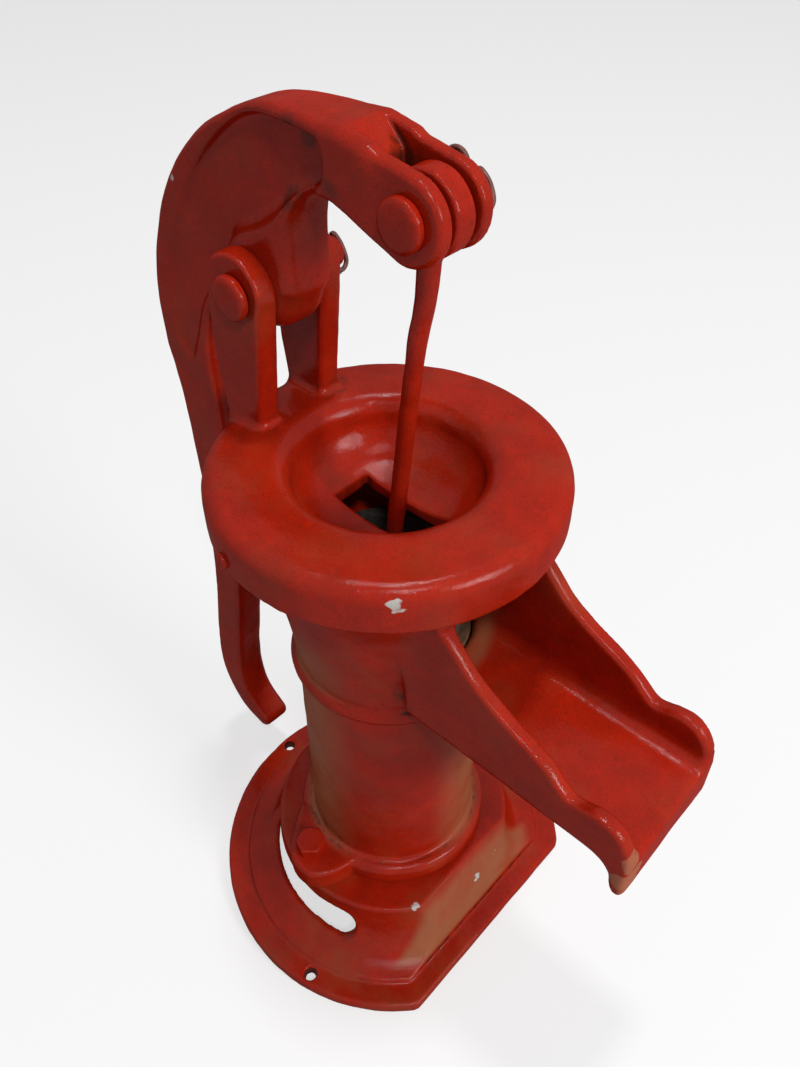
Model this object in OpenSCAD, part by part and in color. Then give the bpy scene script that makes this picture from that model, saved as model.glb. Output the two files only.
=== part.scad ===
// Cast-iron pitcher pump: base, barrel with open spout, revolving cap, hand lever and plunger.
// Millimetres. Z is up, the base stands on z = 0 and the barrel runs up the Z axis.
// The spout points along +X, both hinge pins lie along Y, the lever hangs on the -X side.

/* [Base] */
// radius of the round side of the base rim
base_radius = 100; // [60:1:160]
// thickness of the base rim
rim_thickness = 7; // [4:0.5:15]
// width of the flat rim around the bell
rim_width = 13; // [6:0.5:30]
// distance from the barrel axis to the straight front edge
base_flat = 77; // [50:1:120]
// height of the base casting
base_height = 45; // [30:1:80]
// radius of the round top face of the base
boss_radius = 65; // [55:0.5:90]
// foot of the straight front wall, from the axis
flat_foot = 65; // [45:0.5:90]
// top of the straight front wall, from the axis
flat_top = 54; // [40:0.5:80]
// wall thickness of the castings' bell and top plate
base_wall = 8; // [4:0.5:12]
// radius of the suction thread boss under the base
suction_boss_radius = 29; // [20:0.5:40]
// radius of the threaded suction hole
suction_radius = 20; // [8:0.5:30]
// gap from the floor to the suction boss
suction_boss_gap = 0; // [0:0.5:25]
// sill height of the two side windows
window_sill = 17; // [10:0.5:30]
// lintel height of the two side windows
window_head = 35; // [20:0.5:60]
// angle at which a side window starts, from the spout direction
window_start = 65; // [40:1:90]
// angle at which a side window ends
window_end = 146; // [100:1:165]
// radius of a screw hole in the rim
screw_hole_radius = 3.5; // [2:0.1:6]
// distance of the screw holes from the axis
screw_hole_reach = 94; // [70:0.5:120]
// angle of the two front screw holes from the spout direction
screw_hole_angle = 76; // [50:1:85]

/* [Barrel and spout] */
// thickness of the leather between base and barrel
leather_thickness = 3; // [1.5:0.1:6]
// radius of the barrel flange
flange_radius = 51; // [46:0.5:60]
// thickness of the barrel flange
flange_thickness = 12; // [6:0.5:20]
// outside radius of the barrel
barrel_radius = 44; // [40:0.5:52]
// radius of the bore
bore_radius = 38; // [25:0.5:38.5]
// fillet between the flange and the barrel
flange_fillet = 3.5; // [1:0.1:4]
// height of the raised bead around the barrel
bead_height = 188; // [120:1:220]
// how far the bead stands out
bead_size = 3; // [1:0.1:6]
// radius of the flared neck where the spout starts
neck_radius = 51; // [46:0.5:58]
// drop of that neck below the top of the barrel casting
neck_drop = 48; // [40:1:70]
// radius of the rim that carries the cap
top_radius = 66; // [58:0.5:72]
// thickness of the rim that carries the cap
top_rim = 12; // [7:1:25]
// top of the barrel casting
top_height = 290; // [241:1:340]
// mouth radius inside the barrel top
basin_radius = 53; // [50:0.5:58]
// drop of the basin's floor below the top of the barrel casting
basin_drop = 52; // [44:1:80]
// bolt circle radius of the two flange lugs
lug_reach = 57; // [54:0.5:62]
// rounded end radius of a flange lug
lug_radius = 13; // [10:0.5:20]
// turn of the lugs from the Y axis
lug_turn = 8; // [0:1:20]
// radius of the bolt holes
bolt_radius = 5; // [3:0.1:7]
// corner radius of a hexagon bolt head
hex_radius = 9; // [6:0.1:9]
// height of a hexagon bolt head
hex_height = 7; // [4:0.1:12]
// reach of the spout mouth from the axis
spout_reach = 148; // [100:1:220]
// half of the outside width of the spout
spout_half = 33; // [20:0.5:42]
// wall thickness of the spout
spout_wall = 5; // [3:0.1:8]
// drop of the spout's underside below the top of the barrel casting
spout_drop = 91; // [76:1:120]
// floor thickness of the spout
spout_floor = 6; // [3:0.1:10]
// corner radius under the spout
spout_round = 9; // [4:0.5:16]
// how far the lip turns down at the mouth
lip_drop = 11; // [4:0.5:20]
// height of the spout walls beside the barrel
spout_root = 66; // [50:1:75]

/* [Cap] */
// outside radius of the cap
cap_radius = 73.5; // [68:0.5:90]
// drop of the cap skirt below the top of the barrel casting
skirt_drop = 16; // [6:1:20]
// thickness of the cap over the barrel casting
cap_thickness = 9; // [6:0.5:20]
// rounding of the cap's outer edge
cap_round = 8; // [3:0.5:9]
// thickness of the cap skirt
skirt_wall = 6.5; // [3:0.5:8]
// radius of the bowl at its lip
bowl_radius = 43; // [36:0.5:46]
// depth of the bowl below the cap's top face
bowl_depth = 29; // [16:1:36]
// wall thickness of the bowl
bowl_wall = 5; // [3:0.5:8]
// half of the width of the rod slot
slot_half = 7.5; // [5.5:0.5:12]
// reach of the rod slot behind the axis
slot_back = 25; // [12:1:30]
// reach of the rod slot in front of the axis
slot_front = 32; // [24:1:34]
// inner face of an ear, from the middle plane
ear_inner = 11.5; // [10:0.5:20]
// thickness of an ear
ear_thickness = 10.5; // [4:0.5:12]
// rounded end radius of an ear
ear_radius = 12.5; // [10:0.5:20]
// back of an ear at its foot, from the axis
ear_back = 71; // [60:0.5:74]
// front of an ear at its foot, from the axis
ear_front = 49; // [46:0.5:56]
// angle of the set screw behind the near side
set_screw_turn = 13; // [0:1:40]
// radius of the set screw
set_screw_radius = 3.5; // [2:0.1:6]

/* [Lever] */
// fulcrum pin, distance behind the axis
fulcrum_back = 56; // [40:0.5:70]
// fulcrum pin, height above the cap's top face
fulcrum_rise = 57; // [35:0.5:90]
// radius of the fulcrum pin
fulcrum_radius = 6; // [4:0.1:8]
// radius of the lever boss on the fulcrum pin
boss_end_radius = 15; // [11:0.5:20]
// side play between the lever boss and an ear
side_play = 1; // [0.3:0.1:3]
// rod pin, distance in front of the axis
rod_pin_front = 20; // [10:0.5:40]
// rod pin, height above the fulcrum pin
rod_pin_rise = 47; // [20:0.5:60]
// radius of the rod pin
rod_pin_radius = 5.5; // [3:0.1:8]
// rounded end radius of a fork cheek
fork_radius = 14.5; // [10:0.5:22]
// half of the fork width
fork_half = 13; // [10:0.5:20]
// half of the fork slot
fork_slot_half = 7; // [5.5:0.5:12]
// root of the fork slot, ahead of the axis
fork_root = 1; // [-4:0.5:8]
// half of the lever's rim width
rim_half = 8.5; // [6:0.5:13]
// half of the lever's web thickness
web_half = 5; // [3:0.5:8]
// reach of the lever's back behind the fulcrum pin
lever_reach = 74; // [50:1:120]
// height of the lever tip above the floor
tip_height = 28; // [15:1:150]
// rise of the lever's back above the fulcrum pin
lever_rise = 66; // [50:0.5:80]
// radius of a pin head
pin_head_radius = 8.7; // [7:0.1:14]
// thickness of a pin head
pin_head_thickness = 4; // [2:0.1:8]
// length of a pin beyond the far cheek or ear
pin_tail = 8; // [6:0.5:14]
// wire radius of the split pins
cotter_wire = 1.3; // [0.8:0.1:2]
// running clearance of the pins, on the radius
pin_play = 0.06; // [0.02:0.01:0.1]

/* [Rod and plunger] */
// radius of the plunger rod
rod_radius = 4; // [3:0.1:6]
// radius of the rod's upper eye
eye_radius = 14; // [9:0.5:18]
// half of the thickness of the rod's upper eye
eye_half = 4.5; // [3:0.5:8]
// drop of the rod's lower pin below the top of the barrel casting, grip hanging down
wrist_drop = 55; // [45:1:75]
// radius of the rod's lower eye
wrist_eye_radius = 8; // [6:0.5:10]
// radius of the wrist pin
wrist_radius = 3; // [2:0.1:4]
// half of the wrist pin's length
wrist_half = 11; // [8:0.5:14]
// outside radius of the plunger cage
cage_radius = 33; // [28:0.5:34]
// inside radius of the plunger cage
cage_bore = 27; // [24:0.5:29]
// height of the plunger cage
cage_height = 36; // [30:0.5:44]
// play between the cup leather and the bore
cup_play = 0.6; // [0.4:0.1:2]
// height of the cup leather
cup_height = 14; // [8:0.5:20]
// thickness of the follower below the cup
follower_thickness = 8; // [4:0.5:14]
// radius of the water way through the plunger
water_way = 12; // [8:0.5:18]
// radius of the weight on the lower valve
valve_radius = 19; // [12:0.5:26]
// height of the weight on the lower valve
valve_height = 12; // [6:0.5:20]

/* [Hidden] */
$fn = 64;
// shares of the rise across the bell, outward and upward
bell_shares = [[1, 0], [0.62, 0.07], [0.34, 0.2], [0.17, 0.43], [0.06, 0.75], [0, 1]];
// place of a split pin along a pin's tail
cotter_share = 0.62;
// share of a size used to push a cut past a face
cut_share = 0.04;
// outline of the lever's back: share of the reach behind the fulcrum, share of the rise above it
back_shares = [
    [-0.135, 1], [-0.08, 0.997], [0, 0.982], [0.08, 0.936], [0.17, 0.868], [0.338, 0.752], [0.486, 0.611],
    [0.635, 0.427], [0.77, 0.212], [0.872, -0.011], [0.932, -0.198], [0.986, -0.429], [1, -0.62]
];
// outline of the lever's underside from the arm up to the fork, same shares
belly_shares = [[0.57, -0.603], [0.497, -0.374], [0.362, -0.165], [0.154, -0.05]];
// front of the neck between boss and fork: share of the way to the rod pin, share of the rise
neck_shares = [[0.253, 0.236], [0.303, 0.447], [0.372, 0.609], [0.472, 0.705], [0.553, 0.718]];
// middle line of the hanging arm: share of the reach, share of the drop, share of the arm's half depth
arm_shares = [
    [0.765, 0.085, 1], [0.778, 0.121, 1], [0.768, 0.193, 0.86], [0.752, 0.284, 0.78], [0.758, 0.395, 0.74],
    [0.799, 0.516, 0.71], [0.862, 0.637, 0.69], [0.935, 0.733, 0.68], [0.997, 0.818, 0.67], [1.018, 0.874, 0.66],
    [0.987, 0.919, 0.63], [0.914, 0.955, 0.55], [0.81, 0.975, 0.42]
];
// half depth of the arm beside the fulcrum as a share of the lever's reach
arm_half_share = 0.208;
// pocket outline on the lever's flanks, shares of the reach and the rise
pocket_shares = [
    [-0.47, 0.866], [-0.054, 0.862], [0.071, 0.828], [0.185, 0.747], [0.31, 0.623], [0.435, 0.485],
    [0.549, 0.318], [0.664, 0.103], [0.758, -0.088], [0.81, -0.26], [0.851, -0.451], [0.867, -0.623],
    [0.695, -0.623], [0.633, -0.394], [0.487, -0.146], [0.289, 0.198], [0.05, 0.351], [-0.158, 0.408],
    [-0.283, 0.637], [-0.47, 0.733]
];
// profile of the spout's top edge: share of the length past the barrel, share of the wall height
spout_shares = [
    [0.0, 1], [0.14, 0.87], [0.25, 0.73], [0.37, 0.6], [0.48, 0.51], [0.58, 0.46], [0.66, 0.395], [0.7, 0.36],
    [0.74, 0.36], [0.79, 0.4], [0.86, 0.41], [0.93, 0.36], [0.98, 0.28], [1, 0.12]
];
// bowl of the cap: share of the lip radius, share of the depth
bowl_shares = [[1, 1], [0.94, 0.82], [0.86, 0.6], [0.76, 0.38], [0.63, 0.18], [0.48, 0.06], [0.36, 0]];
// neck flare of the barrel: share of the way from neck to rim, share of the height
flare_shares = [[0, 0], [0.12, 0.35], [0.35, 0.66], [0.7, 0.88], [1, 1]];

flange_foot = base_height + leather_thickness;
flange_top = flange_foot + flange_thickness;
neck_height = top_height - neck_drop;
top_foot = top_height - top_rim;
basin_foot = top_height - basin_drop;
spout_foot = top_height - spout_drop;
skirt_foot = top_height - skirt_drop;
cap_top = top_height + cap_thickness;
bowl_floor = cap_top - bowl_depth;
fulcrum_height = cap_top + fulcrum_rise;
lever_drop = fulcrum_height - tip_height;
wrist_height = top_height - wrist_drop;
ear_outer = ear_inner + ear_thickness;
boss_half = ear_inner - side_play;
rod_pin_height = fulcrum_height + rod_pin_rise;
pin_span = fulcrum_back + rod_pin_front;
spout_length = spout_reach - neck_radius;
spout_start = neck_radius;
rod_run = rod_pin_height - wrist_height;
rod_length = sqrt(pow(rod_run, 2) + pow(rod_pin_front, 2));
rod_tilt = atan2(rod_pin_front, rod_run);
cage_foot = wrist_height - 0.75 * cage_height;
cup_foot = cage_foot - cup_height;
follower_foot = cup_foot - follower_thickness;
lug_angle = 90 + lug_turn;
eps = cut_share * base_wall;
big = 2 * base_radius;

// node to draw, or all of them

// bar across the Y axis: an XZ outline pulled to both sides
module across(half) {
    rotate([90, 0, 0]) linear_extrude(height = 2 * half, center = true) children();
}

// plate across the Y axis between two faces on one side
module plate(near, far) {
    translate([0, far, 0]) rotate([90, 0, 0]) linear_extrude(height = far - near) children();
}

// round bar along Y between two faces
module bar(x, z, radius, near, far) {
    translate([x, near, z]) rotate([-90, 0, 0]) cylinder(r = radius, h = far - near);
}

// hexagon prism standing on a height
module hexagon(height, foot) {
    translate([0, 0, foot]) cylinder(r = hex_radius, h = height, $fn = 6);
}

// places its children at one flange lug
module at_lug(side) {
    rotate([0, 0, side * lug_angle]) translate([lug_reach, 0, 0]) children();
}

// bell of the base, turned, grown outward by nothing or shrunk inward by the wall
module bell(shrink, top) {
    foot_radius = base_radius - rim_width;
    rotate_extrude() polygon(concat(
        [[0, 0]],
        [for (p = bell_shares)
            [boss_radius + p[0] * (foot_radius - boss_radius) - shrink,
             rim_thickness + p[1] * (base_height - rim_thickness) - (base_height - top)]],
        [[0, top]]
    ));
}

// keeps what lies behind the straight front of the base
module front_keep(shrink, top) {
    intersection() {
        children();
        across(big) polygon([
            [-big, 0], [flat_foot - shrink, 0], [flat_foot - shrink, rim_thickness],
            [flat_top - shrink, top], [-big, top]
        ]);
    }
}

// flat rim of the base with its straight front
module base_rim() {
    intersection() {
        cylinder(r = base_radius, h = rim_thickness);
        translate([-big, -big, 0]) cube([big + base_flat, 2 * big, rim_thickness]);
    }
}

// ring sector that opens one side window
module window(side) {
    rotate([0, 0, side > 0 ? window_start : -window_end])
        rotate_extrude(angle = window_end - window_start)
            polygon([
                [boss_radius - 2 * base_wall, window_sill], [base_radius, window_sill],
                [base_radius, window_head], [boss_radius - 2 * base_wall, window_head]
            ]);
}

module base_casting() {
    color("firebrick") difference() {
        union() {
            difference() {
                union() {
                    base_rim();
                    front_keep(0, base_height) bell(0, base_height);
                }
                front_keep(base_wall, base_height - base_wall) bell(base_wall, base_height - base_wall);
                for (side = [-1, 1]) window(side);
            }
            translate([0, 0, suction_boss_gap])
                cylinder(r = suction_boss_radius, h = base_height - suction_boss_gap);
        }
        translate([0, 0, -eps]) cylinder(r = suction_radius, h = base_height + 2 * eps);
        for (angle = [screw_hole_angle, -screw_hole_angle, 180])
            rotate([0, 0, angle]) translate([screw_hole_reach, 0, -eps])
                cylinder(r = screw_hole_radius, h = rim_thickness + 2 * eps);
        for (side = [-1, 1]) at_lug(side)
            translate([0, 0, base_height - base_wall - eps])
                cylinder(r = bolt_radius + pin_play, h = base_wall + 2 * eps);
    }
}

module valve_leather() {
    color("saddlebrown") translate([0, 0, base_height])
        cylinder(r = flange_radius - flange_fillet, h = leather_thickness);
}

module valve_weight() {
    color("dimgray") translate([0, 0, flange_foot]) cylinder(r = valve_radius, h = valve_height);
}

module valve_screw() {
    color("dimgray") translate([0, 0, flange_foot + valve_height])
        cylinder(r = valve_radius / 2, h = leather_thickness);
}

// barrel with flange, bead, flared neck and top rim, turned
module barrel() {
    fillet = flange_fillet;
    rise = top_foot - neck_height;
    rotate_extrude() polygon(concat(
        [[bore_radius, flange_foot], [flange_radius, flange_foot], [flange_radius, flange_top]],
        [for (a = [0, 30, 60, 90])
            [barrel_radius + fillet * (1 - sin(a)), flange_top + fillet * (1 - cos(a))]],
        [for (a = [-90, -60, -30, 0, 30, 60, 90])
            [barrel_radius + bead_size * cos(a), bead_height + 1.4 * bead_size * sin(a)]],
        [for (p = flare_shares) [neck_radius + p[0] * (top_radius - neck_radius), neck_height + p[1] * rise]],
        [[top_radius, top_height], [basin_radius, top_height], [basin_radius, neck_height + rise * 0.5],
         [bore_radius, basin_foot - bead_size]]
    ));
}

// one flange lug with a rounded end
module lug(side) {
    at_lug(side) translate([0, 0, base_height]) cylinder(r = lug_radius, h = flange_top - base_height);
    rotate([0, 0, side * lug_angle])
        translate([bore_radius + bead_size, -lug_radius, base_height])
            cube([lug_reach - bore_radius - bead_size, 2 * lug_radius, flange_top - base_height]);
}

// cross-section of the spout, outside or inside, drawn in the YZ plane
module spout_section(half, foot, round) {
    translate([round - half, foot]) square([2 * (half - round), big]);
    translate([-half, foot + round]) square([2 * half, big]);
    for (side = [-1, 1]) translate([side * (half - round), foot + round]) circle(r = round);
}

// pulls a YZ cross-section along +X from one reach to another
module along(from, to) {
    translate([from, 0, 0]) rotate([90, 0, 90]) linear_extrude(height = to - from) children();
}

// outside of the spout trough
module spout_outside() {
    run = spout_length;
    intersection() {
        across(spout_half) polygon(concat(
            [[bore_radius + bead_size, spout_foot], [bore_radius + bead_size, spout_foot + spout_root]],
            [for (p = spout_shares) [spout_start + p[0] * run, spout_foot + p[1] * spout_root]],
            [[spout_reach, spout_foot - lip_drop], [spout_reach - spout_wall, spout_foot - lip_drop],
             [spout_reach - spout_wall - lip_drop / 2, spout_foot]]
        ));
        along(0, 2 * spout_reach) spout_section(spout_half, spout_foot - lip_drop, spout_round);
    }
}

// inside of the spout trough, from the bore out past the mouth and up to the top rim
module spout_inside() {
    half = spout_half - spout_wall;
    intersection() {
        along(bore_radius / 2, 2 * spout_reach)
            spout_section(half, spout_foot + spout_floor, spout_round - spout_wall / 2);
        union() {
            translate([0, -big, 0]) cube([big, 2 * big, spout_foot + spout_root - spout_floor]);
            translate([neck_radius + bead_size, -big, 0]) cube([big, 2 * big, top_foot]);
        }
    }
}

module body_casting() {
    color("firebrick") difference() {
        union() {
            barrel();
            for (side = [-1, 1]) lug(side);
            spout_outside();
        }
        translate([0, 0, base_height - eps]) cylinder(r = bore_radius, h = basin_foot - base_height);
        spout_inside();
        for (side = [-1, 1]) at_lug(side)
            translate([0, 0, base_height - eps]) cylinder(r = bolt_radius + pin_play, h = flange_top);
        translate([0, 0, base_height - eps])
            cylinder(r = flange_radius - flange_fillet + eps, h = leather_thickness + eps);
    }
}

// hexagon bolt through the lug, screwed into the top plate of the base
module flange_bolt(side) {
    color("firebrick") at_lug(side) {
        hexagon(hex_height, flange_top);
        translate([0, 0, base_height - base_wall])
            cylinder(r = bolt_radius, h = flange_top - base_height + base_wall);
    }
}

module flange_bolt_near() { flange_bolt(-1); }
module flange_bolt_far() { flange_bolt(1); }

// one ear of the cap, from foot to rounded end
module ear(side) {
    near = side > 0 ? ear_inner : -ear_outer;
    plate(near, near + ear_thickness) polygon(concat(
        [[-ear_back, cap_top - cap_round], [-ear_front, cap_top - cap_round]],
        [for (a = [-10, 10, 30, 50, 70, 90, 110, 130, 150, 170, 190])
            [-fulcrum_back + ear_radius * cos(a), fulcrum_height + ear_radius * sin(a)]]
    ));
}

// cap without ears, turned
module cap_ring() {
    lip_round = bowl_wall;
    rotate_extrude() polygon(concat(
        [[cap_radius - skirt_wall, skirt_foot], [cap_radius, skirt_foot]],
        [for (a = [0, 15, 30, 45, 60, 75, 90])
            [cap_radius - cap_round * (1 - cos(a)), cap_top - cap_round * (1 - sin(a))]],
        [for (a = [90, 60, 30])
            [bowl_radius + lip_round * (1 - cos(a)), cap_top - lip_round * (1 - sin(a))]],
        [for (p = bowl_shares) [p[0] * bowl_radius, bowl_floor + p[1] * (bowl_depth - lip_round)]],
        [[0, bowl_floor], [0, bowl_floor - bowl_wall], [bowl_radius / 2, bowl_floor - bowl_wall],
         [bowl_radius - bowl_wall, bowl_floor + bowl_wall / 2], [bowl_radius + bowl_wall, top_height],
         [cap_radius - skirt_wall, top_height]]
    ));
}

module cap_casting() {
    color("firebrick") difference() {
        union() {
            cap_ring();
            for (side = [-1, 1]) ear(side);
        }
        translate([-slot_back, -slot_half, bowl_floor - 2 * bowl_wall])
            cube([slot_back + slot_front, 2 * slot_half, 2 * bowl_wall + cap_round]);
        bar(-fulcrum_back, fulcrum_height, fulcrum_radius, -big, big);
        rotate([0, 0, -90 - set_screw_turn]) translate([0, 0, (skirt_foot + top_height) / 2])
            rotate([0, 90, 0]) cylinder(r = set_screw_radius, h = big);
    }
}

module set_screw() {
    color("dimgray") rotate([0, 0, -90 - set_screw_turn]) translate([0, 0, (skirt_foot + top_height) / 2])
        rotate([0, 90, 0]) {
            translate([0, 0, cap_radius - skirt_wall])
                cylinder(r = set_screw_radius, h = skirt_wall + set_screw_radius);
            translate([0, 0, cap_radius + set_screw_radius / 2])
                cylinder(r = 1.5 * set_screw_radius, h = set_screw_radius, $fn = 4);
        }
}

// headed pin along Y with its head on the near side
module headed_pin(x, z, radius, near, far) {
    difference() {
        union() {
            bar(x, z, radius, near - eps, far + pin_tail);
            bar(x, z, pin_head_radius, near - pin_head_thickness, near);
        }
        translate([x, far + cotter_share * pin_tail, z]) rotate([0, 90, 0])
            cylinder(r = cotter_wire, h = big, center = true);
    }
}

// split pin along X with its ring behind and one curled leg in front
module split_pin(x, z, radius, far) {
    ring = 2.2 * cotter_wire;
    translate([x, far + cotter_share * pin_tail, z]) {
        rotate([0, 90, 0]) cylinder(r = cotter_wire, h = 2 * radius + 4 * cotter_wire, center = true);
        for (end = [-1, 1]) translate([end * (radius + cotter_wire + ring), 0, 0])
            rotate_extrude() translate([ring, 0]) circle(r = cotter_wire, $fn = 24);
    }
}

module fulcrum_pin() {
    color("firebrick") headed_pin(-fulcrum_back, fulcrum_height, fulcrum_radius, -ear_outer, ear_outer);
}

module fulcrum_cotter() {
    color("dimgray") split_pin(-fulcrum_back, fulcrum_height, fulcrum_radius, ear_outer);
}

// a point of the lever from shares of reach and rise
function lever_point(p) = [-fulcrum_back - p[0] * lever_reach, fulcrum_height + p[1] * lever_rise];

// a point of the neck from shares of the pin span and rise
function neck_point(p) = [-fulcrum_back + p[0] * pin_span, fulcrum_height + p[1] * lever_rise];

// a point on the arm's middle line
function arm_point(i) = [
    -fulcrum_back - arm_shares[i][0] * lever_reach, fulcrum_height - arm_shares[i][1] * lever_drop
];

// direction of the arm's middle line at a station
function arm_heading(i) =
    let (last = len(arm_shares) - 1,
         d = arm_point(min(i + 1, last)) - arm_point(max(i - 1, 0)))
    d / norm(d);

// one edge of the arm at a station
function arm_edge(i, side) =
    let (h = arm_heading(i), half = arm_shares[i][2] * arm_half_share * lever_reach)
    arm_point(i) + side * half * [h[1], -h[0]];

// outline of the head: back, belly, boss, neck and the block behind the fork
module head_outline() {
    polygon(concat(
        [[rod_pin_front, rod_pin_height + fork_radius]],
        [for (p = back_shares) lever_point(p)],
        [for (p = belly_shares) lever_point(p)],
        [[-fulcrum_back, fulcrum_height]],
        [for (p = neck_shares) neck_point(p)],
        [[rod_pin_front, rod_pin_height - fork_radius]]
    ));
}

// outline of the hanging arm
module arm_outline() {
    last = len(arm_shares) - 1;
    polygon(concat(
        [for (i = [0:last]) arm_edge(i, 1)],
        [for (i = [last:-1:0]) arm_edge(i, -1)]
    ));
    translate(arm_point(last)) circle(r = arm_shares[last][2] * arm_half_share * lever_reach);
}

// outline of the fork block
module fork_outline() {
    translate([rod_pin_front, rod_pin_height]) circle(r = fork_radius);
    polygon(concat(
        [[rod_pin_front, rod_pin_height + fork_radius], neck_point([0.78, 1]), neck_point([0.5, 1])],
        [neck_point(neck_shares[len(neck_shares) - 1])],
        [[rod_pin_front, rod_pin_height - fork_radius]]
    ));
}

module handle_casting() {
    color("firebrick") difference() {
        union() {
            difference() {
                union() {
                    across(rim_half) head_outline();
                    across(rim_half) arm_outline();
                }
                for (side = [-1, 1])
                    plate(side > 0 ? web_half : -big, side > 0 ? big : -web_half)
                        polygon([for (p = pocket_shares) lever_point(p)]);
            }
            bar(-fulcrum_back, fulcrum_height, boss_end_radius, -boss_half, boss_half);
            across(fork_half) fork_outline();
        }
        bar(-fulcrum_back, fulcrum_height, fulcrum_radius + pin_play, -big, big);
        bar(rod_pin_front, rod_pin_height, rod_pin_radius, -big, big);
        translate([fork_root, -fork_slot_half, rod_pin_height - 2 * fork_radius])
            cube([big, 2 * fork_slot_half, 4 * fork_radius]);
    }
}

module rod_pin() {
    color("firebrick") headed_pin(rod_pin_front, rod_pin_height, rod_pin_radius, -fork_half, fork_half);
}

module rod_cotter() {
    color("dimgray") split_pin(rod_pin_front, rod_pin_height, rod_pin_radius, fork_half);
}

module piston_rod() {
    color("firebrick") difference() {
        union() {
            bar(rod_pin_front, rod_pin_height, eye_radius, -eye_half, eye_half);
            bar(0, wrist_height, wrist_eye_radius, -eye_half, eye_half);
            translate([0, 0, wrist_height]) rotate([0, rod_tilt, 0]) cylinder(r = rod_radius, h = rod_length);
        }
        bar(rod_pin_front, rod_pin_height, rod_pin_radius + pin_play, -big, big);
        bar(0, wrist_height, wrist_radius, -big, big);
    }
}

module wrist_pin() {
    color("dimgray") bar(0, wrist_height, wrist_radius, -wrist_half, wrist_half);
}

module plunger_cage() {
    color("gray") difference() {
        translate([0, 0, cage_foot]) cylinder(r = cage_radius, h = cage_height);
        translate([0, 0, cage_foot + cage_radius - cage_bore]) cylinder(r = cage_bore, h = cage_height);
        translate([0, 0, cage_foot - eps]) cylinder(r = water_way, h = cage_height);
    }
}

module plunger_poppet() {
    color("saddlebrown") translate([0, 0, cage_foot + cage_radius - cage_bore])
        cylinder(r = water_way + 2 * cotter_wire, h = 3 * cotter_wire);
}

module cup_leather() {
    color("saddlebrown") translate([0, 0, cup_foot]) difference() {
        cylinder(r = bore_radius - cup_play, h = cup_height);
        translate([0, 0, -eps]) cylinder(r = water_way, h = cup_height + 2 * eps);
    }
}

module plunger_follower() {
    color("gray") translate([0, 0, follower_foot]) difference() {
        cylinder(r = cage_radius, h = follower_thickness);
        translate([0, 0, -eps]) cylinder(r = water_way, h = follower_thickness + 2 * eps);
    }
}

base_casting();
valve_leather();
valve_weight();
valve_screw();
body_casting();
flange_bolt_near();
flange_bolt_far();
cap_casting();
set_screw();
fulcrum_pin();
fulcrum_cotter();
handle_casting();
rod_pin();
rod_cotter();
piston_rod();
wrist_pin();
plunger_cage();
plunger_poppet();
cup_leather();
plunger_follower();
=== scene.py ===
"""Looks of a cast-iron pitcher pump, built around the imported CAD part.

The castings, the bolt heads and the set screw are distance fields in millimetres, meshed at the end, so that
their edges, fillets and uneven skin are those of painted sand castings. Pins are turned, and split pins are
bent wire.
"""

import math

import bpy
import numpy as np
import openvdb
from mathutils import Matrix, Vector


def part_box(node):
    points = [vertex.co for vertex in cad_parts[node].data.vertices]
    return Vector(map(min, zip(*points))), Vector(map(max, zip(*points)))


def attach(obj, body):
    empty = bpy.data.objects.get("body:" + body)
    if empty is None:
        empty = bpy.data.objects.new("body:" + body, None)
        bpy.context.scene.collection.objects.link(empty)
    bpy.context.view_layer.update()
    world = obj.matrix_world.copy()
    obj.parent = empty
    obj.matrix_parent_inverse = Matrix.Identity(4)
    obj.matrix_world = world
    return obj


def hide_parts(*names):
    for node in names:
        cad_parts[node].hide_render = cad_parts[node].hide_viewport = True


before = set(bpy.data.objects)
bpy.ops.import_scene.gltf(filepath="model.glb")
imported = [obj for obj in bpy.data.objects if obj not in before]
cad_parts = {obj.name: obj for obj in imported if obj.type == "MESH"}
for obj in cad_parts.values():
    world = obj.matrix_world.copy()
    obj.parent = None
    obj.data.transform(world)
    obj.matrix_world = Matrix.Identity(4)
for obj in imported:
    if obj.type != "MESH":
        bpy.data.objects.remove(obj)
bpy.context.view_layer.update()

MILLIMETRES = 1000.0


# Places taken from the frame, in millimetres

def box_of(node):
    low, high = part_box(node)
    return np.array(low) * MILLIMETRES, np.array(high) * MILLIMETRES


def middle_of(node):
    low, high = box_of(node)
    return (low + high) / 2


base_low, base_high = box_of("base_casting")
_, body_high = box_of("body_casting")
base_radius = -base_low[0]
base_flat = base_high[0]
base_height = base_high[2]
top_height = body_high[2]
spout_reach = body_high[0]
cap_radius = -box_of("cap_casting")[0][0]
fulcrum_x, _, fulcrum_z = middle_of("fulcrum_pin")
rod_pin_x, _, rod_pin_z = middle_of("rod_pin")
wrist_x, _, wrist_z = middle_of("wrist_pin")
fork_half = box_of("handle_casting")[1][1]
pin_head_thickness = 4.0
ear_outer = -box_of("fulcrum_pin")[0][1] - pin_head_thickness

# Shape values, in millimetres

# Base
rim_thickness = 7.0
rim_corner = 1.2
rim_edge = 1.6
rim_foot_edge = 0.8
bell_step = 1.6
bell_foot = base_radius - 12.5
bell_top_radius = 65.0
bell_edge = 1.4
bell_foot_edge = 0.6
bell_join = 0.5
front_foot = 66.5
front_top = 54.0
base_wall = 5.0
hollow_edge = 5.0
hollow_rim_edge = 1.0
suction_radius = 20.0
suction_boss_radius = 29.0
suction_edge = 0.8
suction_boss_edge = 1.0
suction_boss_join = 3.0
window_sill = 15.0
window_head = 33.5
window_start = 65.0
window_end = 146.0
window_radius = 72.0
window_inner = 44.0
window_rounding = 0.95
window_edge = 2.2
screw_hole_radius = 3.5
screw_hole_reach = 94.0
screw_hole_angles = (76.0, -76.0, 180.0)
screw_hole_taper = 0.12
screw_hole_edge = 0.8

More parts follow.
